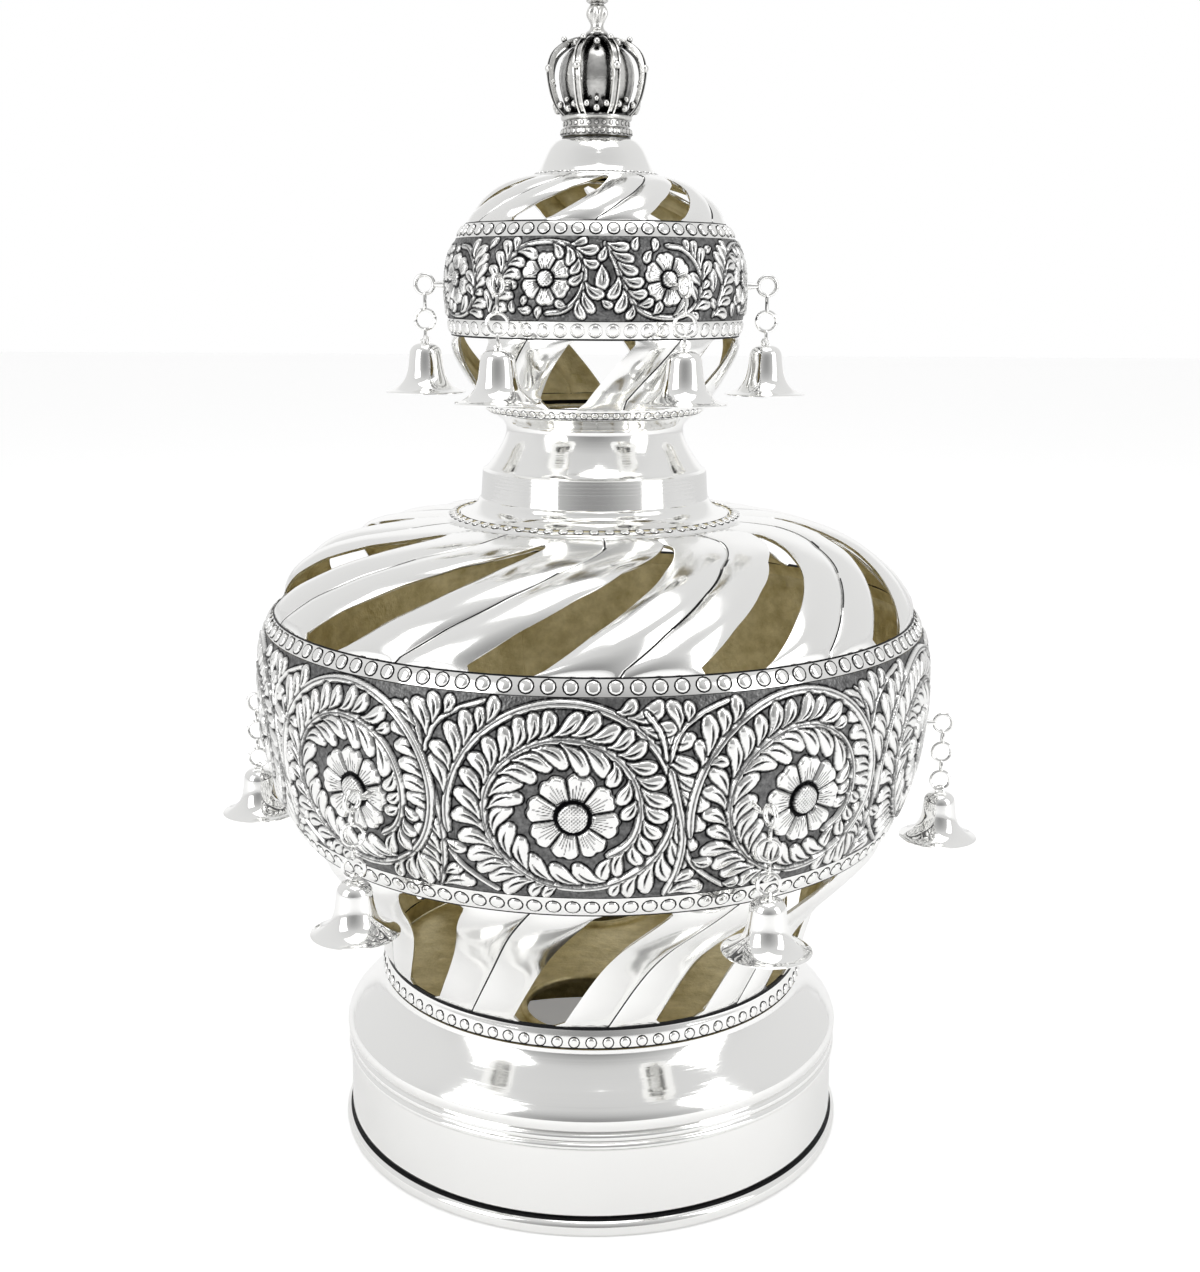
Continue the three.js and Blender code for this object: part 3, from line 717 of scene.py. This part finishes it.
def bulb_ornament(low, high):
    """Two units of the bulb's band. In each a stem climbs, sweeps over and coils round a flower."""
    unit = math.radians(36) * BULB_RADIUS
    dice = np.random.default_rng(7)
    sheet = Chasing(2 * unit, low, high, 0.33)
    for index in range(2):
        middle = unit * (index + 0.5)
        coil = swirl((middle, 0), [(-10, 38.6), (16, 37.4), (58, 35), (90, 33.4), (132, 31.6), (180, 29.4),
                                   (209, 27.4), (235, 25.2), (270, 23.6), (313, 24), (349, 26), (360, 26.4),
                                   (386, 26.4), (403, 25.2), (450, 23.2), (479, 22), (499, 21.2), (521, 20),
                                   (551, 19), (571, 18.2), (590, 15.4)])
        trunk = shifted([(-44, -27.4), (-41, -18), (-40, -7), (-42, 4), (-44.4, 14)], middle)
        branches = [
            shifted([(-39.8, -10), (-36, -17), (-30.6, -22), (-24, -26.6)], middle),
            shifted([(-44.6, 17), (-41.6, 25), (-35, 30), (-26, 33.4)], middle),
            shifted([(-45.6, 17), (-47.4, 25), (-51.6, 31)], middle),
        ]
        for branch in branches:
            sheet.stem(branch, 0.7, 0.9)
        sheet.stem(trunk, 1.0, 1.15)
        sheet.stem(coil, 1.2, 1.25)
        sheet.flower((middle, 0), 13.8, 11.4, 8, 4.9, 10 + 9 * index, 1.35)
        for line, half in [(coil, 1.2), (trunk, 1.0)] + [(branch, 0.7) for branch in branches]:
            sheet.leaves_along(line, half, (11.5, 10, 8.6, 7.4, 6.2, 5), 2.4, 1.15, dice)
    sheet.leaves_between(600, (6.4, 5, 3.8), 1.9, 1.0, dice)
    return sheet


def globe_ornament(low, high):
    """Eight units of the globe's band, each the other way up from the last."""
    unit = math.radians(45) * GLOBE_RADIUS
    dice = np.random.default_rng(3)
    sheet = Chasing(8 * unit, low, high, 0.33)
    for index in range(8):
        middle, flip = unit * (index + 0.5), 1 if index % 2 else -1
        coil = shifted([(-20.6, 11.2 * flip), (-17.4, 5 * flip), (-14.4, -3 * flip), (-9, -9.6 * flip),
                        (0, -11.6 * flip), (8.4, -9.6 * flip), (12.2, -3 * flip), (11, 4.4 * flip),
                        (6, 9.4 * flip), (0, 10.4 * flip)], middle)
        sheet.stem(coil, 0.72, 0.8)
        sheet.flower((middle, 0), 8.2, 6.6, 6, 2.7, 10 * index, 0.95)
        sheet.leaf(np.array([middle + 17.4, -4.4 * flip]), math.radians(80 * flip), 7.4, 0.5 * flip, 1.9, 0.8, 0.3)
        sheet.leaves_along(coil, 0.72, (6.8, 5.8, 4.8, 4, 3.2), 1.5, 0.75, dice, 1.9)
    sheet.leaves_between(700, (4, 3.2, 2.4), 1.1, 0.7, dice)
    return sheet


def chased_band(name, sheet, line, arc, start, degrees):
    """Wraps a length of ornament round the shell, and closes it with a plain inner skin."""
    bm = bmesh.new()
    outer = bmesh.ops.create_grid(bm, x_segments=sheet.columns, y_segments=sheet.rows, size=0.5)
    inner = bmesh.ops.create_grid(bm, x_segments=sheet.columns, y_segments=8, size=0.5)
    bmesh.ops.translate(bm, verts=inner["verts"], vec=(0, 0, -1))
    for end in (-0.5, 0.5):
        edges = [edge for edge in bm.edges if all(abs(vert.co.y - end) < 1e-5 for vert in edge.verts)]
        bmesh.ops.bridge_loops(bm, edges=edges)
    sides = [edge for edge in bm.edges if edge.is_boundary]
    bmesh.ops.holes_fill(bm, edges=sides, sides=0)
    bmesh.ops.recalc_face_normals(bm, faces=bm.faces)
    for face in bm.faces:
        face.material_index = 0 if all(vert.co.z > -0.5 for vert in face.verts) else 1
    mesh = bpy.data.meshes.new(name)
    bm.to_mesh(mesh)
    bm.free()
    flat = np.empty(len(mesh.vertices) * 3, np.float32)
    mesh.vertices.foreach_get("co", flat)
    x, y, layer = flat.reshape(-1, 3).T.astype(float)
    column = np.rint((x + 0.5) * sheet.columns).astype(int)
    row = np.clip(np.rint((y + 0.5) * sheet.rows).astype(int), 0, sheet.rows)
    outside = layer > -0.5
    at = sheet.low + (y + 0.5) * (sheet.high - sheet.low)
    ahead = np.gradient(line, arc, axis=0)
    radius, height, slope_r, slope_z = (
        np.interp(at, arc, values) for values in (line[:, 0], line[:, 1], ahead[:, 0], ahead[:, 1]))
    long = np.hypot(slope_r, slope_z)
    lift = np.where(outside, sheet.height[row, column % sheet.columns], -WALL)
    radius, height = radius + lift * slope_z / long, height - lift * slope_r / long
    angle = np.radians(start + (x + 0.5) * degrees)
    placed = np.stack([radius * np.sin(angle), -radius * np.cos(angle), height], axis=1) * MM
    mesh.vertices.foreach_set("co", placed.astype(np.float32).ravel())
    mesh.update()
    dark = mesh.attributes.new("dark", "FLOAT", "POINT")
    dark.data.foreach_set(
        "value", np.where(outside, sheet.dark[row, column % sheet.columns], 0).astype(np.float32))
    return mesh


def arc_from(line, zero_height):
    """How far along a line each of its points lies, counted from a height on it."""
    lengths = np.concatenate([[0], np.hypot(*np.diff(line, axis=0).T).cumsum()])
    return lengths - np.interp(zero_height, line[:, 1], lengths)


# ---------------------------------------------------------------- the two shells

def bulb():
    bead_row("bulb_foot_ring", "bulb", [(75.2, 58.4), (75.35, 58.9), (75.35, 59.2), (75.5, 60.7), (75.2, 62.2),
                                        (75, 63.2), (74.9, 63.5), (74.6, 64.6), (74.4, 65.6)],
             (75.5, 60.7), 4, 86, 1.95)
    lower = eased([(74.3, 65.3), (75.6, 72), (77.4, 80), (80.4, 88), (85.6, 95.6), (92.6, 103),
                   (98.6, 109.6), (103.4, 115.8)], 5)
    flutes("bulb_lower_flutes", "bulb", lower, 10, ([65.4, 67, 78, 114.2, 115.4], [4.5, 6.6, 6.7, 6.8, 5.6]),
           ([58, 65, 114.4, 116], [-15, -14, 7.1, 7.8]), ([58, 74, 95, 116], [0.6, 1.5, 2, 1.7]), 4)
    bead_row("bulb_lower_bead_row", "bulb", strip_between((103.4, 115.6), (106.9, 122.8)),
             (105.5, 119.2), -25, 116, 2.5)
    band = eased([(106.8, 122.6), (109.6, 129.4), (112, 137), (113.9, 146), (115, 156), (115.3, 165),
                  (115, 173), (114.3, 179), (112.8, 185)], 8)
    arc = arc_from(band, 150)
    sheet = bulb_ornament(arc[0], arc[-1])
    fifth = chased_band("fifth of the band", sheet, band, arc, -2.8 - 18, 72)
    for index in range(5):
        part = fifth.copy()
        part.transform(Matrix.Rotation(math.radians(72 * index), 4, "Z"))
        piece_of(part, f"bulb_floral_band_{index + 1}", ["bulb"], [CHASED, GILT], 0)
    bead_row("bulb_upper_bead_row", "bulb", strip_between((112.8, 184.9), (109.6, 190.2)),
             (111.6, 187.7), 29, 110, 2.45)
    dome = eased([(109.6, 190), (107, 194.4), (102.9, 200), (97.6, 205), (91.4, 209.6), (83, 213.8),
                  (73, 217.2), (62, 219.4), (50.2, 220.4)], 5)
    flutes("bulb_dome_flutes", "bulb", dome, 10,
           ([190.4, 191.6, 201, 209, 215, 219.2, 219.6], [5, 6.2, 6.1, 5.7, 4.6, 1.6, 0]),
           ([190, 191.4, 201, 209, 215, 219.2, 222], [22, 22.4, 30, 38.5, 47, 57, 58]),
           ([190, 200, 212, 220], [1.8, 1.9, 1.6, 0.5]), 4.5)
    bead_row("bulb_neck_ring", "bulb", [(50.9, 220.2), (50.6, 220.7), (50.2, 221.2), (48.6, 222), (46.6, 222.1),
                                        (46.2, 221.9), (46, 221.6)], (48.5, 222.0), 74, 62, 1.7)


def globe():
    bead_row("globe_foot_ring", "globe", [(35.2, 256.3), (35.9, 256.5), (36.2, 256.8), (36.9, 257.5), (37.4, 258.4),
                                          (37.5, 258.9), (37.6, 259.4)], (36.8, 257.4), -35, 66, 1.3)
    lower = eased([(37.5, 259), (39.2, 262.6), (41.8, 267), (44.6, 271.8), (46.8, 276.8), (48.2, 281.6)], 6)
    flutes("globe_lower_flutes", "globe", lower, 6, ([259.4, 262, 271.5, 280.4, 281.4], [7, 11.4, 12.2, 12.5, 11]),
           ([256, 262.4, 280.6, 282], [-17, -15, 3, 4.4]), ([258, 266, 276, 282], [0.5, 1.3, 1.3, 0.9]), 3)
    bead_row("globe_lower_bead_row", "globe", strip_between((48.2, 281.4), (49.4, 287.4), 0.2),
             (48.95, 284.4), -11, 56, 2.3)
    band = eased([(49.4, 287.3), (49.9, 292), (50.1, 297), (49.7, 302.6), (48.5, 308), (46.4, 312.8)], 8)
    arc = arc_from(band, 300)
    sheet = globe_ornament(arc[0], arc[-1])
    piece_of(chased_band("globe_floral_band", sheet, band, arc, -18 - 22.5, 360), "globe_floral_band",
             ["globe"], [CHASED, GILT], 0)
    bead_row("globe_upper_bead_row", "globe", strip_between((46.4, 312.6), (43, 317.8), 0.2),
             (45.1, 315.3), 33, 52, 2.2)
    dome = eased([(43.1, 317.6), (40, 321.6), (36, 325.4), (31.4, 328.8), (26, 331.4), (20.6, 333)], 6)
    flutes("globe_dome_flutes", "globe", dome, 6, ([317.8, 318.8, 323.6, 328, 331.6, 332.2], [7.6, 9.6, 9.6, 8, 3, 0]),
           ([317, 318.6, 323.6, 328, 331.6, 333], [29, 31, 42, 54, 66, 68]),
           ([317, 324, 330, 333], [1.1, 1.3, 0.9, 0.3]), 3)
    bead_row("globe_top_ring", "globe", [(20.9, 332.7), (20.8, 333.1), (20.5, 333.4), (19.4, 333.8), (18.2, 333.8),
                                         (18, 333.5)], (19.6, 333.75), 78, 40, 0.95)


# ---------------------------------------------------------------- cast crown and stem

def strap(bm, angle):
    """A strap arch with raised edges and a sunk channel, bent from the ring to the crest; the cast silver blackens the
    channel with painted shade as well as oxide.
    """
    path = eased([(9.9, 351.2), (13.4, 354.6), (15.5, 360), (16.2, 366), (14.7, 370.6), (11.2, 373.6),
                  (7.2, 375.2), (3.2, 375.4)], 5)
    ahead = np.gradient(path, axis=0)
    tilts = np.degrees(np.arctan2(-ahead[:, 0], ahead[:, 1]))
    section = [(-1.25, -0.7), (1.25, -0.7), (1.25, 0.75), (0.75, 0.75), (0.6, 0.2), (-0.6, 0.2),
               (-0.75, 0.75), (-1.25, 0.75)]
    places = [facing(spot_on, tilt, angle) @ Matrix.Rotation(math.radians(90), 4, "X")
              for spot_on, tilt in zip(path, tilts)]
    face = bm.faces.new([bm.verts.new(places[0] @ Vector((across * MM, out * MM, 0)))
                         for across, out in section])
    for before, after in zip(places, places[1:]):
        face = bmesh.ops.extrude_discrete_faces(bm, faces=[face])["faces"][0]
        bmesh.ops.transform(bm, matrix=after @ before.inverted(), verts=face.verts)


def finial_crown():
    bm = bmesh.new()
    ring = np.vstack([
        eased([(9.6, 345.2), (11.2, 345.2), (11.7, 346.2), (11.5, 347.5), (10.9, 348.1)], 3),
        [(10.8, 348.3), (10.8, 350.2)],
        eased([(11.2, 350.4), (11.7, 351), (11.6, 351.8), (11, 352.3), (9.4, 352.3)], 3)])
    turn(bm, ring, 72)
    bead, dot = punched_bead(1.0, 8), punched_bead(0.8, 8)
    copies(bm, bead, [facing((11.65, 346.7), 8, 10 * i) for i in range(36)])
    copies(bm, dot, [facing((10.85, 349.25), 0, 360 * i / 28) for i in range(28)])
    keep(bm, "finial_crown_ring", ["finial_crown"], [CAST, CAST, BLACK], 40)
    bm = bmesh.new()
    turn(bm, np.vstack([[(0.001, 351.8), (8.6, 351.8)],
                        eased([(8.8, 352.4), (10.6, 356), (12, 361), (12.1, 366), (10.4, 370.6), (7, 373.6),
                               (3.4, 374.9), (0.001, 375.2)], 4)]), 64, closed=False)
    keep(bm, "finial_crown_cap", ["finial_crown"], [CAST], 40)
    bm = bmesh.new()
    for index in range(8):
        strap(bm, 22.5 + 45 * index)
    bmesh.ops.holes_fill(bm, edges=[edge for edge in bm.edges if edge.is_boundary], sides=0)
    bmesh.ops.recalc_face_normals(bm, faces=bm.faces)
    keep(bm, "finial_crown_arches", ["finial_crown"], [CAST], 35)
    bm = bmesh.new()
    for index in range(8):
        angle = 22.5 + 45 * index
        balls = [(16.6, angle, 366, 1.35), (15.6, angle - 3, 362, 0.8), (15.6, angle + 3, 362, 0.8),
                 (13.6, angle + 9, 354.8, 1.1), (13.6, angle - 9, 354.8, 1.1), (12.6, angle + 22.5, 353.6, 1.25),
                 (13.4, angle + 22.5, 356.2, 0.9), (9.4, angle + 22.5, 373.9, 1.2), (11.4, angle, 375.1, 1.0)]
        for radius, degrees, height, size in balls:
            bmesh.ops.create_icosphere(bm, subdivisions=2, radius=size * MM,
                                       matrix=Matrix.Translation(spot(radius, degrees, height)))
    keep(bm, "finial_crown_balls", ["finial_crown"], [CAST], 0)


def finial_stem():
    bm = bmesh.new()
    outline = eased([(3.4, 376.6), (3.6, 377.6), (2.4, 378.8), (2.1, 380), (2.8, 381.8), (3.3, 383.6), (2.9, 385.4),
                     (2.2, 386.4), (3.4, 387.2), (3.5, 388.4), (2.2, 389.2), (2.1, 390), (3.2, 391.8), (3.9, 393.6),
                     (3.3, 395.4), (1.9, 396.8), (1.1, 397.3), (0.001, 397.45)], 4)
    turn(bm, np.vstack([[(0.001, 376.6)], outline]), 48, closed=False)
    for vert in bm.verts:
        height, lean = vert.co.z / MM, math.atan2(vert.co.x, vert.co.y)
        bud = max(0, 1 - abs(height - 383) / 3.4) + max(0, 1 - abs(height - 393) / 3.6)
        swing = 1 + 0.16 * bud * math.cos(6 * lean + (height - 380) * 0.25)
        vert.co.x *= swing
        vert.co.y *= swing
    bead = punched_bead(0.62, 8)
    copies(bm, bead, [facing((3.45, 387.8), 0, 30 * i) for i in range(12)])
    keep(bm, "finial_stem_bud", ["finial_stem"], [CAST, CAST, BLACK], 0)


# ---------------------------------------------------------------- eyelets, chains and bells

def bell_mesh_at(top):
    """A flared bell with a loop on top and a clapper on a wire inside, on the crown's axis."""
    bm = bmesh.new()
    outside = eased([(0.001, 0), (2.2, -0.15), (4, -0.9), (5.2, -2.4), (5.6, -4.6), (5.9, -7.2), (6.4, -9.8),
                     (7.4, -12.2), (9, -14), (11.2, -15.4), (13.2, -16.1)], 3)
    lip = [(13.5, -16.3), (13.4, -16.6), (12.9, -16.6)]
    inside = eased([(11, -16), (8.7, -14.6), (6.9, -12.6), (5.8, -9.8), (5.2, -7.2), (4.8, -4.6), (4, -2.8),
                    (2.4, -1.6), (0.001, -1.3)], 3)
    turn(bm, np.vstack([outside, lip, inside]) + [0, top], 48, closed=False)
    wire_ring(bm, 1.35, 0.42, Matrix.Translation((0, 0, (top + 0.7) * MM)) @ Matrix.Rotation(math.pi / 2, 4, "Z"),
              1.0, 16, 6)
    bmesh.ops.create_uvsphere(bm, u_segments=16, v_segments=10, radius=2.1 * MM,
                              matrix=Matrix.Translation((0, 0, (top - 14.2) * MM)))
    bmesh.ops.create_cone(bm, cap_ends=True, segments=8, radius1=0.4 * MM, radius2=0.4 * MM, depth=11.4 * MM,
                          matrix=Matrix.Translation((0, 0, (top - 7.1) * MM)))
    return bm


def hanging(prefix, first, root, ring, height, links, joins):
    """Six eyelets round a shell, each with its short chain of wire links and a bell."""
    for index in range(6):
        angle = first + 60 * index
        out = spot(ring, angle, 0)
        upright = Matrix.Translation(out) @ Matrix.Rotation(math.radians(angle), 4, "Z")
        level = Matrix.Translation(out)

        def at(place, z):
            return place @ Matrix.Translation((0, 0, z * MM))

        bm = bmesh.new()
        side_on = Matrix.Rotation(math.pi / 2, 4, "Z")
        wire_ring(bm, 3.1, 0.72, at(upright, height) @ side_on, 1.0, 28, 10)
        arm = ring - root - 3.1
        bmesh.ops.create_cone(bm, cap_ends=True, segments=12, radius1=1.5 * MM, radius2=0.75 * MM,
                              depth=(arm + 0.5) * MM,
                              matrix=at(upright, height) @ Matrix.Translation((0, (3.1 + arm / 2) * MM, 0))
                              @ Matrix.Rotation(math.pi / 2, 4, "X"))
        keep(bm, f"{prefix}_eyelet_wire_{index + 1}", [f"{prefix}_eyelet_{index + 1}"],
             [BRIGHT], 40)
        bm = bmesh.new()
        for centre in links:
            wire_ring(bm, 3.3, 0.62, at(level, centre), 1.0, 26, 8)
        for centre, half in joins:
            wire_ring(bm, 1.25, 0.45, at(level, centre) @ side_on, (half - 0.45) / 1.25, 18, 6)
        keep(bm, f"{prefix}_chain_links_{index + 1}", [f"{prefix}_chain_{index + 1}"],
             [BRIGHT], 40)
        top = 125.15 if prefix == "bulb" else 278.75
        bm = bell_mesh_at(top)
        bmesh.ops.transform(bm, matrix=upright, verts=bm.verts)
        keep(bm, f"{prefix}_bell_cup_{index + 1}", [f"{prefix}_bell_{index + 1}"],
             [BRIGHT], 40)


# ---------------------------------------------------------------- the crown

base_collar()
stave_plate()
bulb()
neck()
globe()
cap()
finial_crown()
finial_stem()
hanging("bulb", 24.7, 115, 122.4, 150, (139.5, 129.2), ((144.8, 2.7), (134.35, 2.4)))
hanging("globe", 28.5, 49.6, 57.4, 298, (286.4,), ((292.3, 3.2), (281.3, 2.6)))


# ---------------------------------------------------------------- floor, light and camera

def studio():
    bm = bmesh.new()
    bmesh.ops.create_grid(bm, x_segments=1, y_segments=1, size=6)
    mesh = bpy.data.meshes.new("floor")
    bm.to_mesh(mesh)
    bm.free()
    floor = bpy.data.objects.new("floor", mesh)
    bpy.context.collection.objects.link(floor)
    pale = bpy.data.materials.new("pale floor")
    pale.use_nodes = True
    paint = pale.node_tree.nodes["Principled BSDF"]
    paint.inputs["Base Color"].default_value = (0.98, 0.98, 0.98, 1)
    paint.inputs["Roughness"].default_value = 0.7
    # The floor looks white from everywhere, and the silver mirrors it a little darker.
    seen = node(pale.node_tree, "ShaderNodeLightPath")
    pale.node_tree.links.new(seen.outputs["Is Camera Ray"], paint.inputs["Emission Color"])
    paint.inputs["Emission Strength"].default_value = 0.24
    mesh.materials.append(pale)

    world = bpy.data.worlds.new("studio")
    bpy.context.scene.world = world
    world.use_nodes = True
    tree = world.node_tree
    wire = tree.links.new
    sky = tree.nodes["Background"]
    place = node(tree, "ShaderNodeTexCoord")
    parts = node(tree, "ShaderNodeSeparateXYZ")
    wire(place.outputs["Generated"], parts.inputs["Vector"])
    ramp = node(tree, "ShaderNodeValToRGB")
    stops = ramp.color_ramp.elements
    stops[0].position, stops[0].color = 0.0, (0.3, 0.3, 0.3, 1)
    stops[1].position, stops[1].color = 1.0, (1, 1, 1, 1)
    for position, level in ((0.05, 0.42), (0.2, 0.66), (0.5, 0.76), (0.9, 0.8), (0.955, 1)):
        stops.new(position).color = (level, level, level, 1)
    back_to_front = node(tree, "ShaderNodeMapRange")
    back_to_front.inputs["From Min"].default_value = -1
    wire(parts.outputs["Y"], back_to_front.inputs["Value"])
    wire(back_to_front.outputs["Result"], ramp.inputs["Fac"])
    # The camera sees a plain white room, and the silver mirrors the shaded one.
    path = node(tree, "ShaderNodeLightPath")
    seen = node(tree, "ShaderNodeMix", data_type="RGBA")
    seen.inputs["B"].default_value = (1, 1, 1, 1)
    wire(path.outputs["Is Camera Ray"], seen.inputs["Factor"])
    wire(ramp.outputs["Color"], seen.inputs["A"])
    wire(seen.outputs["Result"], sky.inputs["Color"])

    def softbox(name, place_at, width, height, power):
        light = bpy.data.lights.new(name, "AREA")
        light.shape, light.size, light.size_y, light.energy = "RECTANGLE", width, height, power
        lamp = bpy.data.objects.new(name, light)
        bpy.context.collection.objects.link(lamp)
        lamp.location = place_at
        lamp.rotation_mode = "QUATERNION"
        lamp.rotation_quaternion = (Vector((0, 0, 0.2)) - Vector(place_at)).to_track_quat("-Z", "Y")

    softbox("left softbox", (-1.1, -0.9, 0.75), 0.8, 1.2, 7)
    softbox("right softbox", (1.2, -0.7, 0.7), 0.6, 1.2, 5)
    softbox("top softbox", (0.1, -0.1, 1.6), 1.0, 1.0, 5)

    lens = bpy.data.cameras.new("front view")
    lens.sensor_width, lens.lens, lens.shift_x = 36, 45.28, 0.0051
    lens.clip_start, lens.clip_end = 0.01, 50
    camera = bpy.data.objects.new("front_view", lens)
    bpy.context.collection.objects.link(camera)
    camera.matrix_world = (
        Matrix.Translation((0, -0.548, 0.300)) @ Matrix.Rotation(math.radians(90 - 12.58), 4, "X")
        @ Matrix.Rotation(math.radians(0.33), 4, "Z"))
    bpy.context.scene.camera = camera
    bpy.context.scene.view_settings.view_transform = "Standard"


studio()
